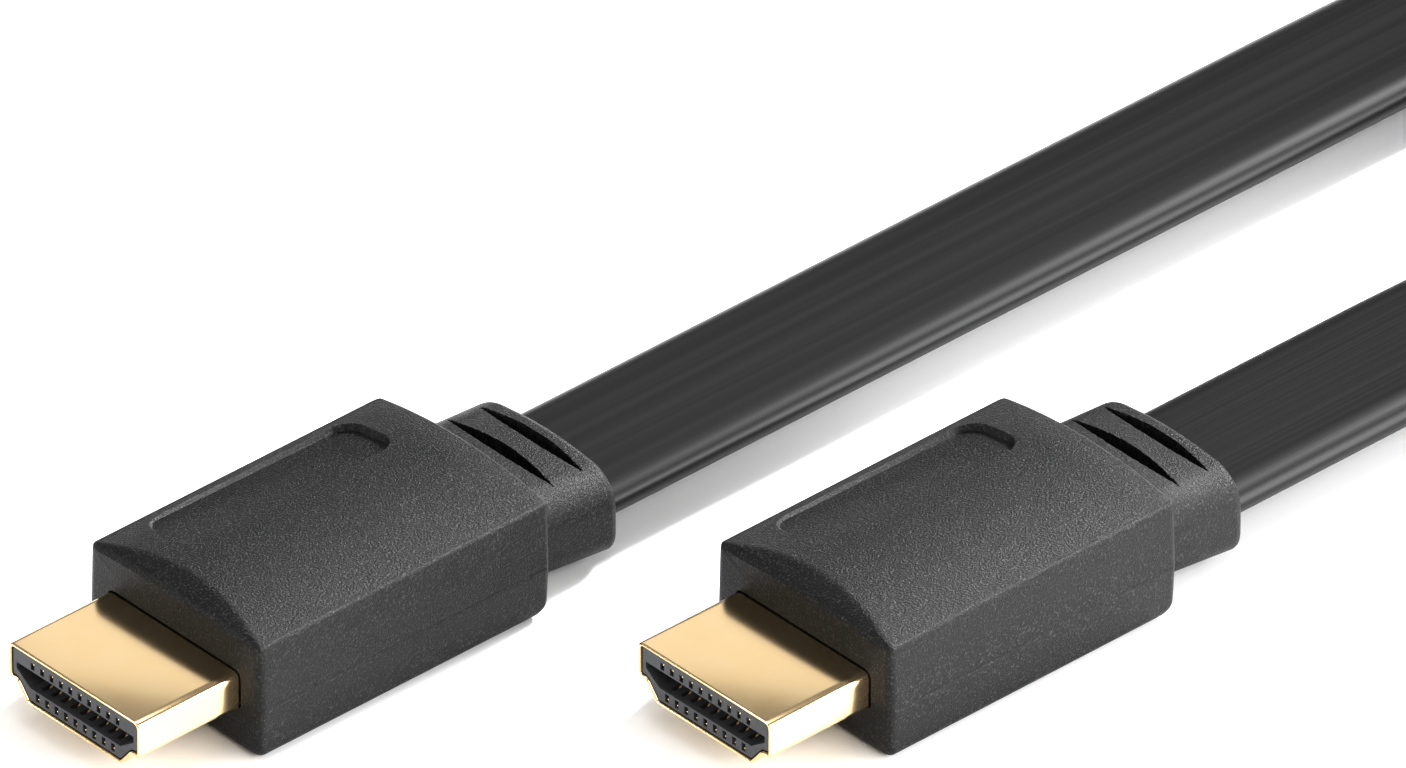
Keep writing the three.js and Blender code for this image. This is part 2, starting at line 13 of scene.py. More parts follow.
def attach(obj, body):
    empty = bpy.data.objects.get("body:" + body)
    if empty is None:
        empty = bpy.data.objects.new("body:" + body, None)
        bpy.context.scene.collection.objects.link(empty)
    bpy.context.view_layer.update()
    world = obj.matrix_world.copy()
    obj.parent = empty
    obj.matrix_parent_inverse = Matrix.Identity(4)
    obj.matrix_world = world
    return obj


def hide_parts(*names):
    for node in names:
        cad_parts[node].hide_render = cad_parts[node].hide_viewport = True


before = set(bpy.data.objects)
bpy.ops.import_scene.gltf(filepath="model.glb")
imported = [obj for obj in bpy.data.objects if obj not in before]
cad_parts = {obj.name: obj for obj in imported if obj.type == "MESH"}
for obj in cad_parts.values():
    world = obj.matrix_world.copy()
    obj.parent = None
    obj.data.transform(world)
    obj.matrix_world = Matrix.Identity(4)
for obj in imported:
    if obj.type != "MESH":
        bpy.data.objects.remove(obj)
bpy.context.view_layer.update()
MM = 0.001

# %% [markdown]
# The object's sizes are in millimetres, because small parts are easier to read that way, and become
# metres when a mesh is made. The room's sizes, of its floor and its lights, stay in metres. The two
# plugs are the same, so each piece is drawn once, round its own plug's place: x runs back from the
# housing's front face, y across it, and z up from the table.

# %% Where the plugs lie
PLUGS = {"plug_a": Vector((-29.475, 14.785, 0)), "plug_b": Vector((3.275, -14.785, 0))}
HOUSING_LENGTH = 27.4
BOOT_LENGTH = 8.2
REAR_END = HOUSING_LENGTH + BOOT_LENGTH
SHELL_REACH = 9.4
SHELL_TOP = 6.5
print("from one plug to the other, mm:", PLUGS["plug_b"] - PLUGS["plug_a"])

# %% [markdown]
# The camera looks along the photograph's direction: about 48 degrees round from the cable's own
# line and 34 degrees down. A very long lens flattens the depth, as the photograph does, so that
# lines that are parallel on the object stay nearly parallel in the picture.

# %% Camera
VIEW_TURN = math.radians(47.9)
VIEW_TILT = math.radians(34.4)
PICTURE_WIDTH = 99.08
TARGET = Vector((11.12, 4.36, 14.17))
LENS = 900
SENSOR = 36
# How far the camera sees, in metres
FARTHEST_SEEN = 100


def look_direction(turn, tilt):
    flat = math.cos(tilt)
    return Vector((flat * math.cos(turn), flat * math.sin(turn), -math.sin(tilt)))


def add_camera():
    camera = bpy.data.objects.new("camera", bpy.data.cameras.new("camera"))
    camera.data.lens = LENS
    camera.data.sensor_width = SENSOR
    camera.data.clip_end = FARTHEST_SEEN
    forward = look_direction(VIEW_TURN, VIEW_TILT)
    distance = PICTURE_WIDTH * LENS / SENSOR
    camera.location = (TARGET - forward * distance) * MM
    camera.rotation_mode = "QUATERNION"
    camera.rotation_quaternion = forward.to_track_quat("-Z", "Y")
    bpy.context.scene.collection.objects.link(camera)
    bpy.context.scene.camera = camera
    return camera


camera = add_camera()
print("camera at", [round(value, 3) for value in camera.location])

# %% [markdown]
# One helper turns a list of points and faces into a piece of the object. The others make a skin out
# of rings: each ring is one loop of points, and neighbouring rings are joined by quads, with a flat
# cap on each open end. Sweeps, sheets and bands are all rings of one kind or another.

# %% Making a mesh piece


def add_piece(name, points, faces):
    mesh = bpy.data.meshes.new(name)
    mesh.from_pydata([tuple(Vector(point) * MM) for point in points], [], faces)
    mesh.update()
    mesh.polygons.foreach_set("use_smooth", [True] * len(mesh.polygons))
    piece = bpy.data.objects.new(name, mesh)
    bpy.context.scene.collection.objects.link(piece)
    return piece


def ring_faces(rings, count, closed=False):
    faces = []
    for ring in range(rings if closed else rings - 1):
        here = ring * count
        there = (ring + 1) % rings * count
        for step in range(count):
            after = (step + 1) % count
            faces.append((here + step, there + step, there + after, here + after))
    if not closed:
        faces.append(tuple(range(count)))
        faces.append(tuple(reversed(range((rings - 1) * count, rings * count))))
    return faces


def skin(rings, closed=False):
    """Points and faces of a skin. A closed one joins its last ring to its first."""
    return [point for ring in rings for point in ring], ring_faces(len(rings), len(rings[0]), closed)


def put_normals_outside(piece):
    work = bmesh.new()
    work.from_mesh(piece.data)
    bmesh.ops.recalc_face_normals(work, faces=work.faces)
    work.to_mesh(piece.data)
    work.free()


def rounded_box(width, height, radius, arc=6):
    """Points of a rectangle round the origin with true quarter circles at its corners."""
    points = []
    for corner, (side, level) in enumerate([(1, 1), (-1, 1), (-1, -1), (1, -1)]):
        centre = Vector((side * (width / 2 - radius), level * (height / 2 - radius)))
        for step in range(arc + 1):
            angle = math.pi / 2 * (corner + step / arc)
            points.append(centre + radius * Vector((math.cos(angle), math.sin(angle))))
    return points


print("faces of a skin of 3 rings of 4 points:", len(ring_faces(3, 4)))

# %% [markdown]
# The cable is one length of flat cable, 12.9 mm wide and 2.6 mm thick, with a plug on each end. Its
# real length is 1.5 m, so what the picture doesn't show is put away: the cable is folded at its
# middle and the two strands are wound together, standing on edge, into a neat roll. Near the plugs
# its route is a short list of chosen points, the same as the measured model's; the roll is a formula.

# %% The cable's route
CABLE_LENGTH = 1500
CABLE_WIDTH = 12.9
CABLE_THICKNESS = 2.6
CABLE_SEAT = 1.2
CABLE_START = REAR_END - CABLE_SEAT
EXIT_HEIGHT = 3.65
ROLL_DISTANCE = 150
ROLL_MIDDLE = 7.55
STRAND_SPACING = 4.65
ROLL_INNER_RADIUS = 34
A_LINE = PLUGS["plug_a"].y
B_LINE = PLUGS["plug_b"].y

# Each point is x, y, z and how far the section has turned on to its edge, in degrees
ROUTE_A = [
    (PLUGS["plug_a"].x + CABLE_START, A_LINE, EXIT_HEIGHT, 0),
    (22, A_LINE, EXIT_HEIGHT, 0),
    (41, A_LINE, EXIT_HEIGHT, 0),
    (60, A_LINE, EXIT_HEIGHT, 0),
    (79, A_LINE, EXIT_HEIGHT, 0),
    (98, A_LINE, EXIT_HEIGHT, 0),
    (106, A_LINE, 3.8, 14),
    (113, A_LINE, 5.1, 38),
    (120, A_LINE, 6.5, 64),
    (127, A_LINE, 6.8, 84),
    (135, A_LINE, 7.2, 90),
    (142, A_LINE, ROLL_MIDDLE, 90),
    (ROLL_DISTANCE, A_LINE, ROLL_MIDDLE, 90),
]
ROUTE_B = [
    (PLUGS["plug_b"].x + CABLE_START, B_LINE, EXIT_HEIGHT, 0),
    (50, B_LINE, EXIT_HEIGHT, 0),
    (61, B_LINE, EXIT_HEIGHT, 0),
    (72, B_LINE, EXIT_HEIGHT, 0),
    (80, B_LINE, 3.8, 14),
    (87, -14.2, 5.1, 38),
    (94, -12.5, 6.5, 64),
    (101, -9.3, 6.8, 84),
    (109, -4.9, 6.95, 90),
    (118, 0.4, 7.15, 90),
    (126, 5.0, 7.35, 90),
    (134, 8.1, 7.5, 90),
    (142, 9.85, ROLL_MIDDLE, 90),
    (ROLL_DISTANCE, A_LINE - STRAND_SPACING, ROLL_MIDDLE, 90),
]


def smooth_line(points, step):
    """A curve through the points, sampled about every step, in as many dimensions as they have."""
    points = [np.array(point, dtype=float) for point in points]
    padded = [2 * points[0] - points[1], *points, 2 * points[-1] - points[-2]]
    line = []
    for before, start, end, after in zip(padded, padded[1:], padded[2:], padded[3:]):
        parts = max(1, round(float(np.linalg.norm((end - start)[:3])) / step))
        for part in range(parts):
            t = part / parts
            line.append(
                0.5 * (2 * start + (end - before) * t
                       + (2 * before - 5 * start + 4 * end - after) * t ** 2
                       + (3 * start - before - 3 * end + after) * t ** 3)
            )
    return [*line, points[-1]]


def length_of(line):
    return sum(float(np.linalg.norm((b - a)[:3])) for a, b in zip(line, line[1:]))


STEP = 1.5
line_a = smooth_line(ROUTE_A, STEP)
line_b = smooth_line(ROUTE_B, STEP)
spare = CABLE_LENGTH - length_of(line_a) - length_of(line_b)


def roll_radius():
    """Radius of the outermost strand, so that the roll takes up exactly the spare length."""
    squares = (spare - math.pi * ROLL_INNER_RADIUS) * 2 * STRAND_SPACING / math.pi
    squares += 2 * ROLL_INNER_RADIUS ** 2
    return (STRAND_SPACING + math.sqrt(2 * squares - STRAND_SPACING ** 2)) / 2


ROLL_RADIUS = roll_radius()
ROLL_CENTRE = np.array((ROLL_DISTANCE, A_LINE - ROLL_RADIUS, ROLL_MIDDLE))
print("plug ends and roll, mm:", round(CABLE_LENGTH - spare, 1), round(spare, 1), round(ROLL_RADIUS, 2))

# %% [markdown]
# Both strands wind clockwise and inwards on the same kind of spiral, half a turn apart, so at the
# centre they face each other and two half circles join them: that is the fold. The whole cable is
# then one line, from the first plug to the second, and each point also says how the flat section
# is turned: flat at 0 degrees, on edge at 90, and flat again, now upside down, at 180.

# %% The roll


def around_roll(radius, turned):
    """A point of the roll at a radius, turned clockwise from its far side, seen from above."""
    away = radius * np.array((math.sin(turned), math.cos(turned), 0))
    return np.append(ROLL_CENTRE + away, 90)


def strand(start_radius):
    last = 2 * math.pi * (start_radius - ROLL_INNER_RADIUS) / (2 * STRAND_SPACING)
    steps = round(last * (start_radius + ROLL_INNER_RADIUS) / 2 / STEP)
    return [
        around_roll(start_radius - STRAND_SPACING / math.pi * last * step / steps, last * step / steps)
        for step in range(steps + 1)
    ]


def fold(start, end):
    """Two half circles from one strand's inner end to the other's, through the roll's centre."""
    middle = (start + end) / 2
    points = []
    steps = round(math.pi * ROLL_INNER_RADIUS / 2 / STEP)
    for turn, anchor in ((-1, start), (1, end)):
        centre = (anchor + middle) / 2
        arm = (anchor if turn < 0 else middle) - centre
        for step in range(1, steps + (turn < 0)):
            angle = turn * math.pi * step / steps
            swing = Matrix.Rotation(angle, 3, "Z") @ Vector(arm[:3])
            points.append(np.append(centre[:3] + np.array(swing), 90))
    return points


strand_a = strand(ROLL_RADIUS)
strand_b = strand(ROLL_RADIUS - STRAND_SPACING)
rolled = [*strand_a[1:], *fold(strand_a[-1], strand_b[-1]), *reversed(strand_b)]
flat_again = [np.append(point[:3], 180 - point[3]) for point in reversed(line_b)]
cable_line = [*line_a, *rolled, *flat_again[1:]]
print("cable points:", len(cable_line), "length, mm:", round(length_of(cable_line), 1))

# %% [markdown]
# The jacket is a ring of points, the cable's section, set square to the line at every point and
# turned by that point's angle. Each edge is half an ellipse, as on real flat cable. Two more values,
# how far along and how far round the section each point lies, go into a UV map, so that the
# material's streaks can follow the cable wherever it bends.

# %% The cable
EDGE_ROUND = 2.2


def cable_section(arc=12):
    """Flat above and below, with half an ellipse at each edge."""
    points = []
    for side in (1, -1):
        for step in range(arc + 1):
            angle = math.pi * (step / arc - 0.5)
            flat = CABLE_WIDTH / 2 - EDGE_ROUND + EDGE_ROUND * math.cos(angle)
            points.append(Vector((side * flat, side * CABLE_THICKNESS / 2 * math.sin(angle))))
    return points


def sweep_flat(name, line, section):
    places = [Vector(point[:3]) for point in line]
    points = []
    for index, place in enumerate(places):
        ahead = places[min(index + 1, len(places) - 1)] - places[max(index - 1, 0)]
        ahead.normalize()
        across = Vector((0, 0, 1)).cross(ahead).normalized()
        across.rotate(Quaternion(ahead, math.radians(line[index][3])))
        over = ahead.cross(across)
        points += [place + across * corner.x + over * corner.y for corner in section]
    return add_piece(name, points, ring_faces(len(places), len(section)))


def map_along(piece, line, section):
    """A UV map in millimetres: u along the cable, and v round its section."""
    along = np.cumsum([0, *(float(np.linalg.norm((b - a)[:3])) for a, b in zip(line, line[1:]))])
    round_it = np.cumsum([0, *((b - a).length for a, b in zip(section, section[1:]))])
    layer = piece.data.uv_layers.new(name="along")
    for loop in piece.data.loops:
        ring, corner = divmod(loop.vertex_index, len(section))
        layer.data[loop.index].uv = (along[ring], round_it[corner])


SECTION = cable_section()
cable = sweep_flat("flat_cable", cable_line, SECTION)
map_along(cable, cable_line, SECTION)
put_normals_outside(cable)
print("cable faces:", len(cable.data.polygons))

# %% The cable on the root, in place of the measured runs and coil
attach(cable, "root")
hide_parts("cable_run_a", "cable_run_b", "cable_coil")
tuple(value * MM for value in cable_line[0][:3])
[tuple(value * MM for value in point[:3]) for point in cable_line]
print("the cable leaves the plug at, mm:", [round(float(value), 3) for value in cable_line[0][:3]])

# %% [markdown]
# The housing and its boot are one moulding, black and softly rounded everywhere. Its skin is made of
# rings, one every 0.14 mm along x. Across the top each ring asks a formula for the height at its
# place: an arched crown that runs out in a ramp at each end, with a shallow recess for a badge, left
# bare here. A smooth minimum joins the surfaces, so every edge gets a small round of its own.

# %% Height of the housing's top
HOUSING_WIDTH = 18.3
EDGE_HEIGHT = 9.35
CROWN_RISE = 1.2
END_RAMPS = {"front": (0.35, 1.8), "rear": (0.97, 2.15)}
CHAMFER = 0.25
CHAMFER_SLOPE = 1.2
RECESS = {"start": 4.0, "end": 23.35, "middle": 5.3, "half": 2.675, "radius": 1.6}
RECESS_DEPTHS = (0.2, 0.5)
WALL_BLUR = 0.1


def arch(y, rise):
    return EDGE_HEIGHT + rise * (1 - (2 * y / HOUSING_WIDTH) ** 2)


def soft_min(one, other, soft=0.12):
    mix = np.clip(0.5 + 0.5 * (other - one) / soft, 0, 1)
    return other + (one - other) * mix - soft * mix * (1 - mix)


def sunk(top, floor, outside):
    """The top with a pit in it: outside is the distance in millimetres to the pit's edge."""
    depth = np.clip(0.5 - outside / WALL_BLUR, 0, 1)
    return top + (np.minimum(floor, top) - top) * depth * depth * (3 - 2 * depth)


def recess_distance(x, y):
    """Distance outside a rounded rectangle, and negative inside it."""
    radius = RECESS["radius"]
    middle_x = (RECESS["start"] + RECESS["end"]) / 2
    over_x = np.abs(x - middle_x) - (RECESS["end"] - RECESS["start"]) / 2 + radius
    over_y = np.abs(y - RECESS["middle"]) - RECESS["half"] + radius
    corner = np.hypot(np.maximum(over_x, 0), np.maximum(over_y, 0))
    return corner + np.minimum(np.maximum(over_x, over_y), 0) - radius


def housing_top(x, y):
    top = arch(y, CROWN_RISE)
    for end, from_end in (("front", x), ("rear", HOUSING_LENGTH - x)):
        rise, depth = END_RAMPS[end]
        top = soft_min(top, arch(y, rise) + (CROWN_RISE - rise) / depth * from_end)
        top = soft_min(top, arch(y, rise) - CHAMFER + CHAMFER_SLOPE * from_end)
    share = (x - RECESS["start"]) / (RECESS["end"] - RECESS["start"])
    depth = RECESS_DEPTHS[0] + (RECESS_DEPTHS[1] - RECESS_DEPTHS[0]) * share
    return sunk(top, arch(y, CROWN_RISE) - depth, recess_distance(x, y))


print("housing's top in its middle, mm:", round(float(housing_top(HOUSING_LENGTH / 2, 0.0)), 2))

# %% [markdown]
# A ring goes once round the section: over the top from the far side to the near side, round the top
# edge, down the side past the parting line, round the bottom edge and across the flat underside. Its
# other half is the mirror image. Near each end the ring shrinks by the depth of a quarter circle,
# which rounds the upright corners and the bottom edges.

# %% Rings of the housing
SIDE_DRAFT = 0.15
PARTING_HEIGHT = 4.15
PARTING_GROOVE = 0.05
PARTING_HALF_WIDTH = 0.1
TOP_EDGE_RADIUS = 0.35
BOTTOM_EDGE_RADIUS = 0.7
PLAN_RADIUS = 0.6
REAR_BOTTOM_RADIUS = 1.3
TOP_POINTS = 129
STEPS_ABOVE_PARTING = 16
STEPS_BELOW_PARTING = 10
STEPS_UNDERNEATH = 16


def quarter(radius, from_end):
    """How far a quarter circle's rounding has cut in, this far from the end."""
    left = max(radius - from_end, 0)
    return radius - math.sqrt(radius ** 2 - left ** 2)


def arc_points(centre_y, centre_z, radius, start, stop, steps=6):
    angles = np.radians(np.linspace(start, stop, steps + 1))
    return [(centre_y + radius * math.cos(a), centre_z + radius * math.sin(a)) for a in angles]


def between(start, stop, steps):
    """Evenly spaced points of a straight line, without its two ends."""
    shares = [step / steps for step in range(1, steps)]
    return [(start[0] + (stop[0] - start[0]) * t, start[1] + (stop[1] - start[1]) * t) for t in shares]


def whole_ring(x, top_points, side_points):
    """A ring from its top, from +y to -y, and its +y side, from the top down to the middle below."""
    mirrored = [(-y, z) for y, z in side_points]
    return [(x, y, z) for y, z in [*top_points, *mirrored, *reversed(side_points)]]


def housing_ring(x):
    half = HOUSING_WIDTH / 2 - quarter(PLAN_RADIUS, min(x, HOUSING_LENGTH - x))
    floor = max(quarter(BOTTOM_EDGE_RADIUS, x), quarter(REAR_BOTTOM_RADIUS, HOUSING_LENGTH - x))
    edge = half - SIDE_DRAFT
    across = np.linspace(edge - TOP_EDGE_RADIUS, TOP_EDGE_RADIUS - edge, TOP_POINTS)
    heights = housing_top(x, across)
    corner = arc_points(edge - TOP_EDGE_RADIUS, heights[0] - TOP_EDGE_RADIUS, TOP_EDGE_RADIUS, 90, 0)
    groove = [
        (half, PARTING_HEIGHT + PARTING_HALF_WIDTH),
        (half - PARTING_GROOVE, PARTING_HEIGHT),
        (half, PARTING_HEIGHT - PARTING_HALF_WIDTH),
    ]
    low = arc_points(edge - BOTTOM_EDGE_RADIUS, floor + BOTTOM_EDGE_RADIUS, BOTTOM_EDGE_RADIUS, 0, -90)
    above = between(corner[-1], groove[0], STEPS_ABOVE_PARTING)
    below = between(groove[-1], low[0], STEPS_BELOW_PARTING)
    underneath = between(low[-1], (0, floor), STEPS_UNDERNEATH)
    side = [*corner[1:], *above, *groove, *below, *low, *underneath]
    return whole_ring(x, list(zip(across, heights)), side)


print("points in a ring of the housing:", len(housing_ring(HOUSING_LENGTH / 2)))

# %% [markdown]
# The boot's rings follow the same plan, with a narrower section that widens and sinks a little
# towards the cable. Two lens-shaped slots are sunk in its top, which let it bend.

# %% Rings of the boot
BOOT_START = HOUSING_LENGTH - 0.6
BOOT_WIDTH = 14.4
BOOT_WIDENING = 0.5
BOOT_MIDDLE = 4.7
BOOT_THICKNESS = 6.7
BOOT_DROOP = 0.8
BOOT_CROWN = 0.3
BOOT_TOP_RADIUS = 2.8
BOOT_BOTTOM_RADIUS = 1.4
BOOT_PLAN_RADIUS = 1.1
BOOT_END_RADIUS = 0.8
BOOT_TOP_POINTS = 65
BOOT_CORNER_STEPS = 12
BOOT_SIDE_STEPS = 12
BOOT_STEPS_UNDERNEATH = 20
CORNER_POINTS_ON_TOP = 8
SLOT_PLACES = (30.7, 33.68)
SLOT_HALF_LENGTH = 5.15
SLOT_HALF_WIDTH = 0.52
SLOT_FLOOR = 5.7


def with_slots(x, ys, zs):
    """The heights along one ring's top, sunk where a slot crosses it."""
    for place in SLOT_PLACES:
        lens = SLOT_HALF_WIDTH * (1 - (ys / SLOT_HALF_LENGTH) ** 2)
        zs = sunk(zs, SLOT_FLOOR, abs(x - place) - lens)
    return zs


def boot_ring(x):
    share = (x - BOOT_START) / (REAR_END - BOOT_START)
    from_end = REAR_END - x
    squeeze = quarter(BOOT_END_RADIUS, from_end)
    half = (BOOT_WIDTH + BOOT_WIDENING * share) / 2 - quarter(BOOT_PLAN_RADIUS, from_end)
    high = BOOT_MIDDLE + BOOT_THICKNESS / 2 - BOOT_DROOP * share - squeeze
    low = BOOT_MIDDLE - BOOT_THICKNESS / 2 - BOOT_DROOP * share + squeeze
    flat = half - BOOT_TOP_RADIUS
    across = np.linspace(flat, -flat, BOOT_TOP_POINTS)
    heights = high + BOOT_CROWN * (1 - (across / flat) ** 2)
    corner = arc_points(flat, high - BOOT_TOP_RADIUS, BOOT_TOP_RADIUS, 90, 0, BOOT_CORNER_STEPS)
    upper = corner[1:CORNER_POINTS_ON_TOP]
    top = [*reversed(upper), *zip(across, heights), *((-y, z) for y, z in upper)]
    ys = np.array([y for y, z in top])
    zs = with_slots(x, ys, np.array([z for y, z in top]))
    bottom = arc_points(half - BOOT_BOTTOM_RADIUS, low + BOOT_BOTTOM_RADIUS, BOOT_BOTTOM_RADIUS, 0, -90)
    down = between(corner[-1], bottom[0], BOOT_SIDE_STEPS)
    underneath = between(bottom[-1], (0, low), BOOT_STEPS_UNDERNEATH)
    side = [*corner[CORNER_POINTS_ON_TOP:], *down, *bottom, *underneath]
    return whole_ring(x, list(zip(ys, zs)), side)


print("points in a ring of the boot:", len(boot_ring(REAR_END)))

# %% [markdown]
# The plug's shell has a flat top, a shoulder on each side and a narrower keel below. One function
# draws that section at any depth inside its outer face, so the same outline serves for the shell's
# outside, its inside and the hole that it leaves in the housing.

# %% Section of the shell
SHELL_HALF_WIDTH = 6.95
SHELL_HEIGHT = 4.45
SHOULDER_DROP = 3.0
SHOULDER_INNER_HALF = 6.15
KEEL_HALF = 4.98
TOP_CORNER = 0.65
SHOULDER_CORNER = 0.35
KEEL_CORNER = 0.45
LEAST_CORNER = 0.1


def shell_outline(inset, arc=5):
    """The plug shell's section, (y, z), drawn this far inside its outer face."""
    shoulder = SHELL_TOP - SHOULDER_DROP + inset
    keel = SHELL_TOP - SHELL_HEIGHT + inset
    half = [
        (SHELL_HALF_WIDTH - inset, SHELL_TOP - inset, max(TOP_CORNER - inset, LEAST_CORNER)),
        (SHELL_HALF_WIDTH - inset, shoulder, max(SHOULDER_CORNER - inset, LEAST_CORNER)),
        (SHOULDER_INNER_HALF - inset / 2, shoulder, SHOULDER_CORNER),
        (KEEL_HALF - inset / 2, keel, max(KEEL_CORNER - inset, LEAST_CORNER)),
    ]
    corners = [half[0], *((-y, z, cut) for y, z, cut in half), *reversed(half[1:])]
    points = []
    for index, (y, z, cut) in enumerate(corners):
        here = Vector((y, z))
        before = (Vector(corners[index - 1][:2]) - here).normalized() * cut
        after = (Vector(corners[(index + 1) % len(corners)][:2]) - here).normalized() * cut
        for step in range(arc + 1):
            t = step / arc
            points.append(here + before * (1 - t) ** 2 + after * t ** 2)
    return points


print("points round the shell:", len(shell_outline(0)))

# %% [markdown]
# Where the shell and the cable go in, the end of a skin is sunk: its last ring is joined to a smaller
# loop of the same number of points, which then goes inwards as the pocket's wall. Each point of the
# loop lies on the straight line from the loop's middle to its own point of the ring.

# %% Pockets


def sunk_loop(ring, outline, middle):
    """The outline's points that lie in the same directions from the middle as the ring's points."""
    angles = np.array([math.atan2(z - middle[1], y - middle[0]) for y, z in outline])
    radii = np.array([math.hypot(y - middle[0], z - middle[1]) for y, z in outline])
    order = np.argsort(angles)
    wanted = [math.atan2(z - middle[1], y - middle[0]) for x, y, z in ring]
    reach = np.interp(wanted, angles[order], radii[order], period=2 * math.pi)
    return [(middle[0] + r * math.cos(a), middle[1] + r * math.sin(a)) for a, r in zip(wanted, reach)]


def dense(outline, step=0.1):
    points = []
    for start, end in zip(outline, [*outline[1:], outline[0]]):
        parts = max(1, round((Vector(end) - Vector(start)).length / step))
        points += [Vector(start).lerp(Vector(end), part / parts) for part in range(parts)]
    return points


def pocket_rings(ring, outline, middle, depth):
    loop = sunk_loop(ring, dense(outline), middle)
    x = ring[0][0]
    return [[(place, y, z) for y, z in loop] for place in (x, x + depth / 4, x + depth)]


print("points round the shell's hole:", len(dense(shell_outline(0))))

# %% [markdown]
# Both skins of a housing are made of the same moulding material, so they are one piece of two closed
# bodies, and the boot starts a little inside the housing. Edges that turn sharply are marked, so
# that smooth shading stops there.

# %% The finished housings
RING_STEP = 0.14
BOOT_RING_STEP = 0.075
SHELL_CLEARANCE = 0.12
SHELL_POCKET_MIDDLE = (0, 4.6)
POCKET_DEPTH = 8.2
CABLE_CLEARANCE = 0.15
CABLE_POCKET_DEPTH = 1.5
HOLE_SIDE_FLAT = 0.05
SHARP_TURN = math.radians(32)


def rings_between(make_ring, start, stop, spacing):
    steps = round((stop - start) / spacing)
    return [make_ring(start + (stop - start) * step / steps) for step in range(steps + 1)]


def block_skin():
    block = rings_between(housing_ring, 0, HOUSING_LENGTH, RING_STEP)
    hole = shell_outline(-SHELL_CLEARANCE)
    pocket = pocket_rings(block[0], hole, SHELL_POCKET_MIDDLE, POCKET_DEPTH)
    return skin([*reversed(pocket), *block])


def boot_skin():
    boot = rings_between(boot_ring, BOOT_START, REAR_END, BOOT_RING_STEP)
    half = CABLE_WIDTH / 2 + CABLE_CLEARANCE
    rise = CABLE_THICKNESS / 2 + CABLE_CLEARANCE
    hole = [(y, z + EXIT_HEIGHT) for y, z in rounded_box(2 * half, 2 * rise, rise - HOLE_SIDE_FLAT)]
    pocket = pocket_rings(boot[-1], hole, (0, EXIT_HEIGHT), -CABLE_POCKET_DEPTH)
    return skin([*boot, *pocket])


def housing_skin():
    points, faces = block_skin()
    boot_points, boot_faces = boot_skin()
    moved_faces = [tuple(corner + len(points) for corner in face) for face in boot_faces]
    return [*points, *boot_points], [*faces, *moved_faces]


def mark_sharp_edges(piece):
    work = bmesh.new()
    work.from_mesh(piece.data)
    for edge in work.edges:
        edge.smooth = len(edge.link_faces) == 2 and edge.calc_face_angle(0) < SHARP_TURN
    work.to_mesh(piece.data)
    work.free()


def add_at_plugs(part, points, faces):
    """One piece on each plug, made of the same points, in place of the measured part."""
    made = {}
    for plug, place in PLUGS.items():
        piece = add_piece(f"{plug}_{part}_skin", [place + Vector(point) for point in points], faces)
        put_normals_outside(piece)
        mark_sharp_edges(piece)
        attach(piece, "root")
        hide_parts(f"{plug}_{part}")
        made[plug] = piece
    return made


housings = add_at_plugs("housing", *housing_skin())
print("housing faces:", {name: len(piece.data.polygons) for name, piece in housings.items()})

# %% [markdown]
# The shell is folded from 0.3 mm sheet, with rounded corners and a rounded rim. Its skin goes along
# the outside to the rim, round the rim in a half circle, and back along the inside, as one closed
# band of loops that all have the same number of points.

# %% Plug shells
SHEET = 0.3
SHELL_STATIONS = (8.0, 0.5, -1.5)
RIM_STEPS = 6


def shell_skin():
    outside = [(x, 0) for x in SHELL_STATIONS]
    rim = []
    for step in range(RIM_STEPS + 1):
        angle = math.pi * step / RIM_STEPS
        x = SHEET / 2 - SHELL_REACH - SHEET / 2 * math.sin(angle)
        rim.append((x, SHEET / 2 - SHEET / 2 * math.cos(angle)))
    inside = [(x, SHEET) for x in reversed(SHELL_STATIONS)]
    places = [*outside, *rim, *inside]
    return skin([[(x, y, z) for y, z in shell_outline(inset)] for x, inset in places], closed=True)


shells = add_at_plugs("shell", *shell_skin())
print("shell faces:", {name: len(piece.data.polygons) for name, piece in shells.items()})

# %% [markdown]
# The floor is a plain pale sheet under a dim sky, and it belongs to the stage, not to the object.

# %% Floor and sky
FLOOR_SIZE = 3.0
FLOOR_DROP = 0.0002
SKY_STRENGTH = 0.42


def add_floor():
    mesh = bpy.data.meshes.new("floor")
    half = FLOOR_SIZE / 2
    corners = [(-half, -half, 0), (half, -half, 0), (half, half, 0), (-half, half, 0)]
    mesh.from_pydata(corners, [], [(0, 1, 2, 3)])
    floor = bpy.data.objects.new("floor", mesh)
    floor.location.z = -FLOOR_DROP
    bpy.context.scene.collection.objects.link(floor)
    return floor


def add_sky():
    world = bpy.data.worlds.new("sky")
    bpy.context.scene.world = world
    world.use_nodes = True
    background = world.node_tree.nodes["Background"]
    background.inputs["Color"].default_value = (1, 1, 1, 1)
    background.inputs["Strength"].default_value = SKY_STRENGTH


floor = add_floor()
add_sky()
print("floor, in metres:", FLOOR_SIZE, "wide,", FLOOR_DROP, "under the plugs")

# %% [markdown]
# A black object is mostly seen by what it reflects. The wide light stands low on the right, because
# the photograph shows a bright band along the near edges and a nearly black top. The tiny light far
# behind makes the grains sparkle. The small card is seen mainly by the tops of the two shells, which
# makes them shine. A gamma below 1 keeps the blacks deep beside the bright metal.

# %% Lights
GAMMA = 0.78
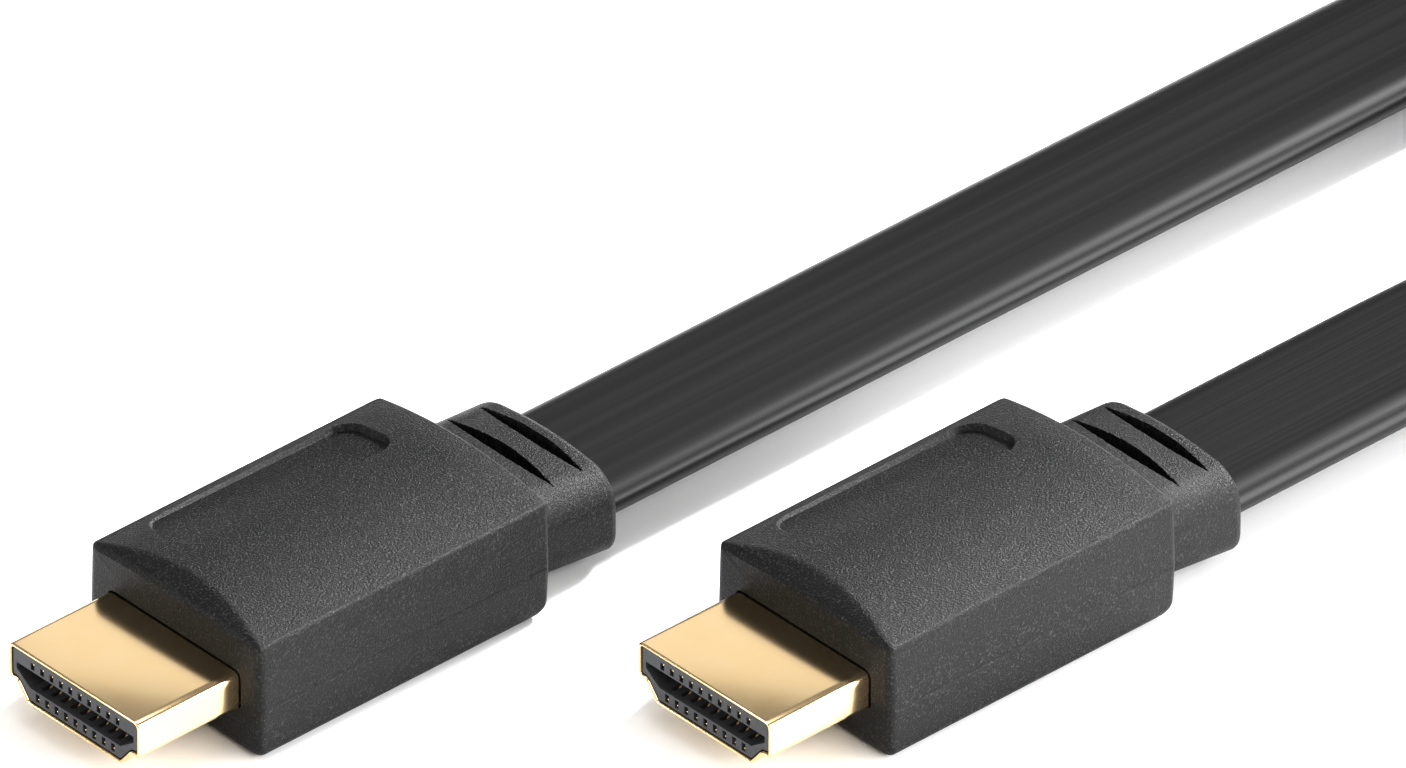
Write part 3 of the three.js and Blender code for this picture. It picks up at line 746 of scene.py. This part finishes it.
# Each light's place and the point it is aimed at, its width and height, in metres, and its watts
LIGHTS = {
    "edge light": ((0.32, -0.44, 0.19), (0.03, 0, 0.02), (0.9, 0.36), 10),
    "near light": ((-0.25, -0.6, 0.5), (0.02, 0, 0), (0.4, 0.3), 2),
    "overhead light": ((0.02, 0.0, 0.9), (0.02, 0, 0), (0.6, 0.6), 3),
    "front light": ((-0.6, 0.25, 0.22), (0, 0, 0), (0.3, 0.3), 3),
    "sparkle light": ((0.65, 0.05, 0.42), (0.02, 0, 0), (0.1, 0.1), 14),
    "shell card": ((0.094, 0.122, 0.121), (-0.016, 0, 0.006), (0.15, 0.08), 0.032),
}


def add_light(name, place, aim, size, power):
    light = bpy.data.lights.new(name, "AREA")
    light.shape = "RECTANGLE"
    light.size, light.size_y = size
    light.energy = power
    lamp = bpy.data.objects.new(name, light)
    lamp.location = place
    lamp.rotation_mode = "QUATERNION"
    lamp.rotation_quaternion = (Vector(aim) - Vector(place)).to_track_quat("-Z", "Y")
    bpy.context.scene.collection.objects.link(lamp)


for name, settings in LIGHTS.items():
    add_light(name, *settings)
bpy.context.scene.view_settings.view_transform = "Standard"
bpy.context.scene.view_settings.gamma = GAMMA
print("lights:", ", ".join(LIGHTS))

# %% [markdown]
# Materials are written as arithmetic. A Wire is one value in a material's node tree, and adding or
# multiplying Wires adds the Math nodes. A Finish is one material, and its node method makes any
# other node: its settings come first, then the values or wires of its sockets.

# %% Shader arithmetic


class Wire:
    """One socket of a material, with Python's operators for the Math nodes."""

    def __init__(self, finish, socket):
        self.finish = finish
        self.socket = socket

    def math(self, operation, *values):
        return self.finish.node("ShaderNodeMath", {"operation": operation}, dict(enumerate(values)))

    def __add__(self, other):
        return self.math("ADD", self, other)

    def __radd__(self, other):
        return self.math("ADD", other, self)

    def __mul__(self, other):
        return self.math("MULTIPLY", self, other)

    def __rmul__(self, other):
        return self.math("MULTIPLY", other, self)

    def ramp(self, low, high):
        """0 below low, 1 above high, and smooth between."""
        settings = {"interpolation_type": "SMOOTHSTEP"}
        sockets = {"Value": self, "From Min": low, "From Max": high}
        return self.finish.node("ShaderNodeMapRange", settings, sockets)


class Finish:
    """One material: a Principled shader, its constants, and what varies over the surface."""

    def __init__(self, name, **constants):
        self.material = bpy.data.materials.new(name)
        self.material.use_nodes = True
        self.tree = self.material.node_tree
        self.shader = self.tree.nodes["Principled BSDF"]
        for socket, value in constants.items():
            self.shader.inputs[socket.replace("_", " ").title().replace("Ior", "IOR")].default_value = value

    def node(self, kind, settings, sockets, output=0):
        made = self.tree.nodes.new(kind)
        for setting, value in settings.items():
            setattr(made, setting, value)
        for socket, value in sockets.items():
            if isinstance(value, Wire):
                self.tree.links.new(value.socket, made.inputs[socket])
            else:
                made.inputs[socket].default_value = value
        return Wire(self, made.outputs[output])

    def place(self):
        """Object coordinates in millimetres."""
        here = self.node("ShaderNodeTexCoord", {}, {}, "Object")
        return self.node("ShaderNodeMapping", {}, {"Vector": here, "Scale": [1 / MM] * 3})

    def noise(self, place, scale, detail=3.0, roughness=0.5):
        sockets = {"Vector": place, "Scale": scale, "Detail": detail, "Roughness": roughness}
        return self.node("ShaderNodeTexNoise", {}, sockets)

    def blend(self, mask, low, high):
        """One colour where the mask is 0, the other where it is 1."""
        colors = {"Factor": mask, 6: (*low, 1), 7: (*high, 1)}
        return self.node("ShaderNodeMix", {"data_type": "RGBA"}, colors, 2)

    def bump(self, height, distance):
        return self.node("ShaderNodeBump", {}, {"Height": height, "Distance": distance * MM})

    def feed(self, **wires):
        for socket, wire in wires.items():
            self.tree.links.new(wire.socket, self.shader.inputs[socket.replace("_", " ").title()])
        return self.material


def grey(level):
    return (level, level, level)


print("shader tools ready")

# %% [markdown]
# The housings are black moulded plastic with a spark-eroded skin: grains of a tenth or two of a
# millimetre, which sparkle where they catch the light. A fine noise makes the grains, both in
# colour and in height, and a coarse one varies the shine so that it isn't even.

# %% Moulded plastic


def moulded_plastic():
    finish = Finish("moulded_plastic", specular_ior_level=0.3)
    place = finish.place()
    grain = finish.noise(place, 6.0, 3.0, 0.7)
    patches = finish.noise(place, 0.5, 2.0)
    color = finish.blend(grain.ramp(0.52, 0.7), grey(0.005), grey(0.06))
    roughness = 0.34 + 0.12 * patches
    return finish.feed(base_color=color, roughness=roughness, normal=finish.bump(grain, 0.09))


FINISHES = {"housing": moulded_plastic()}
for housing in housings.values():
    housing.data.materials.append(FINISHES["housing"])
print("moulded plastic on", len(housings), "housings")

# %% [markdown]
# The shells and the contacts are plated with pale gold. The metal is smooth, so one soft noise is
# enough: it drifts the colour and the roughness a little, as a thin plating does.

# %% Gold plate


def gold_plate():
    finish = Finish("gold_plate", metallic=1.0)
    place = finish.place()
    haze = finish.noise(place, 0.35, 3.0)
    color = finish.blend(haze, (0.78, 0.59, 0.34), (0.84, 0.67, 0.43))
    return finish.feed(base_color=color, roughness=0.14 + 0.08 * haze)


FINISHES["shell"] = gold_plate()
FINISHES["contact"] = gold_plate()
for shell in shells.values():
    shell.data.materials.append(FINISHES["shell"])
print("gold plate on", len(shells), "shells")

# %% [markdown]
# The insulator is a dark grey moulding, a little lighter than the housing and with a soft speckle.

# %% Insulator plastic


def insulator_plastic():
    finish = Finish("insulator_plastic")
    speckle = finish.noise(finish.place(), 2.0)
    color = finish.blend(speckle, (0.035, 0.036, 0.04), (0.085, 0.087, 0.092))
    return finish.feed(base_color=color, roughness=0.4 + 0.2 * speckle)


FINISHES["insulator"] = insulator_plastic()
print("finishes so far:", sorted(FINISHES))

# %% [markdown]
# The cable's jacket is drawn through a die, which leaves faint streaks along it. The noise reads the
# cable's own UV map, stretched lengthways, so that the streaks follow every bend.

# %% Cable jacket
STREAK_STRETCH = (0.004, 0.9, 1)


def cable_jacket():
    finish = Finish("cable_jacket", specular_ior_level=0.36)
    along = finish.node("ShaderNodeUVMap", {"uv_map": "along"}, {})
    stretched = finish.node("ShaderNodeMapping", {}, {"Vector": along, "Scale": STREAK_STRETCH})
    streaks = finish.noise(stretched, 1.0, 4.0)
    color = finish.blend(streaks.ramp(0.35, 0.7), grey(0.004), grey(0.01))
    roughness = 0.3 + 0.12 * streaks
    return finish.feed(base_color=color, roughness=roughness, normal=finish.bump(streaks, 0.012))


FINISHES["cable"] = cable_jacket()
cable.data.materials.append(FINISHES["cable"])
print("jacket on", cable.name)

# %% [markdown]
# The band round the roll is woven and quite matt, and the floor is plain white paper.

# %% Woven band and floor paper


def woven_band():
    finish = Finish("woven_band", roughness=0.9)
    weave = finish.noise(finish.place(), 3.0)
    color = finish.blend(weave, grey(0.008), grey(0.03))
    return finish.feed(base_color=color, normal=finish.bump(weave, 0.1))


def floor_paper():
    finish = Finish("floor_paper", roughness=0.9)
    mottle = finish.noise(finish.place(), 0.01)
    return finish.feed(base_color=finish.blend(mottle, grey(0.84), grey(0.87)))


FINISHES["tie"] = woven_band()
floor.data.materials.append(floor_paper())
print("finishes:", sorted(FINISHES))

# %% [markdown]
# A contact is a strip of springy sheet that leaves its opening, dips into the mouth and runs back
# level. The strip is a small rounded section swept along its spine. The two rows differ only in how
# many contacts they have, how high they lie and which way they dip.

# %% One contact
CONTACT_TIP_INSET = 0.25
CONTACT_WIDTH = 0.22
CONTACT_SHEET = 0.16
CONTACT_ROUNDING = 0.05
CONTACT_STEP = 0.15
CONTACT_PITCH = 1.0
# Points of the spine: how far back from the tip, and the share of the dip
CONTACT_SPINE = [(0, 0), (0.5, 0), (2.0, 1), (3.0, 1), (5.7, 0), (7.2, 0)]
# Each row's count, its height from the shell's top, and how far its contacts dip
ROWS = {"upper": (10, -0.98, -1.05), "lower": (9, -3.67, 1.15)}


def contact_strip(name, level, dip):
    tip = CONTACT_TIP_INSET - SHELL_REACH
    spine = [(tip + back, 0, SHELL_TOP + (level + dip * share)) for back, share in CONTACT_SPINE]
    section = rounded_box(CONTACT_WIDTH, CONTACT_SHEET, CONTACT_ROUNDING, arc=2)
    rings = [
        [(x, corner.x, z + corner.y) for corner in section]
        for x, y, z in smooth_line(spine, CONTACT_STEP)
    ]
    strip = add_piece(name, *skin(rings))
    put_normals_outside(strip)
    return strip


print("contacts in a plug:", sum(count for count, level, dip in ROWS.values()))

# %% [markdown]
# A node group sets any strip out in a row, with its count, its pitch and its finish as inputs. The
# points of a line carry one copy each. The copies are then made real, because only real geometry
# becomes part of a mesh.

# %% A row of copies


def row_group():
    """A node group that repeats its geometry along y, centred on y = 0."""
    group = bpy.data.node_groups.new("row of contacts", "GeometryNodeTree")
    sockets = {}
    for name, kind in (("Strip", "Geometry"), ("Count", "Int"), ("Pitch", "Float"), ("Finish", "Material")):
        sockets[name] = group.interface.new_socket(name, in_out="INPUT", socket_type=f"NodeSocket{kind}")
    group.interface.new_socket("Row", in_out="OUTPUT", socket_type="NodeSocketGeometry")

    def node(kind, links, **settings):
        made = group.nodes.new(kind)
        for setting, value in settings.items():
            setattr(made, setting, value)
        for socket, source in links.items():
            if isinstance(source, bpy.types.NodeSocket):
                group.links.new(source, made.inputs[socket])
            else:
                made.inputs[socket].default_value = source
        return made.outputs[0] if made.outputs else made

    given = group.nodes.new("NodeGroupInput").outputs
    gaps = node("ShaderNodeMath", {0: given["Count"], 1: 1.0}, operation="SUBTRACT")
    width = node("ShaderNodeMath", {0: gaps, 1: given["Pitch"]}, operation="MULTIPLY")
    first = node("ShaderNodeMath", {0: width, 1: -0.5}, operation="MULTIPLY")
    start = node("ShaderNodeCombineXYZ", {"Y": first})
    step = node("ShaderNodeCombineXYZ", {"Y": given["Pitch"]})
    line = node("GeometryNodeMeshLine", {"Count": given["Count"], "Start Location": start, "Offset": step})
    placed = node("GeometryNodeInstanceOnPoints", {"Points": line, "Instance": given["Strip"]})
    real = node("GeometryNodeRealizeInstances", {"Geometry": placed})
    finished = node("GeometryNodeSetMaterial", {"Geometry": real, "Material": given["Finish"]})
    node("NodeGroupOutput", {"Row": finished})
    return group, {name: socket.identifier for name, socket in sockets.items()}


def row_mesh(name, group, keys):
    count, level, dip = ROWS[name]
    strip = contact_strip(f"{name}_strip", level, dip)
    row = strip.modifiers.new("row", "NODES")
    row.node_group = group
    row[keys["Count"]] = count
    row[keys["Pitch"]] = CONTACT_PITCH * MM
    row[keys["Finish"]] = FINISHES["contact"]
    bpy.context.view_layer.update()
    mesh = bpy.data.meshes.new_from_object(strip.evaluated_get(bpy.context.evaluated_depsgraph_get()))
    strip.modifiers.remove(row)
    bpy.data.objects.remove(strip)
    return mesh


rows = {name: row_mesh(name, *row_group()) for name in ROWS}
print("faces in a row:", {name: len(mesh.polygons) for name, mesh in rows.items()})

# %% [markdown]
# Both rows of a plug are one piece, which takes the place of all its measured contacts.

# %% Contacts in the plugs
CONTACT_COUNT = sum(count for count, level, dip in ROWS.values())


def add_contacts(plug, place):
    work = bmesh.new()
    for mesh in rows.values():
        work.from_mesh(mesh)
    work.transform(Matrix.Translation(place * MM))
    contacts = bpy.data.objects.new(f"{plug}_contact_rows", bpy.data.meshes.new(f"{plug}_contact_rows"))
    work.to_mesh(contacts.data)
    work.free()
    contacts.data.materials.append(FINISHES["contact"])
    bpy.context.scene.collection.objects.link(contacts)
    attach(contacts, "root")
    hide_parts(*(f"{plug}_contact_{number:02d}" for number in range(1, CONTACT_COUNT + 1)))
    return contacts


for plug, place in PLUGS.items():
    contacts = add_contacts(plug, place)
    print(contacts.name, "faces:", len(contacts.data.polygons))

# %% [markdown]
# The insulators and the band are good as they were measured, so they keep their shape and only get
# their finish.

# %% Finishes on the measured parts
DRESSED = {**{f"{plug}_insulator": "insulator" for plug in PLUGS}, "coil_tie": "tie"}
for node, slot in DRESSED.items():
    part = bpy.data.objects[node]
    part.data.materials.clear()
    part.data.materials.append(FINISHES[slot])
print("dressed:", ", ".join(DRESSED))
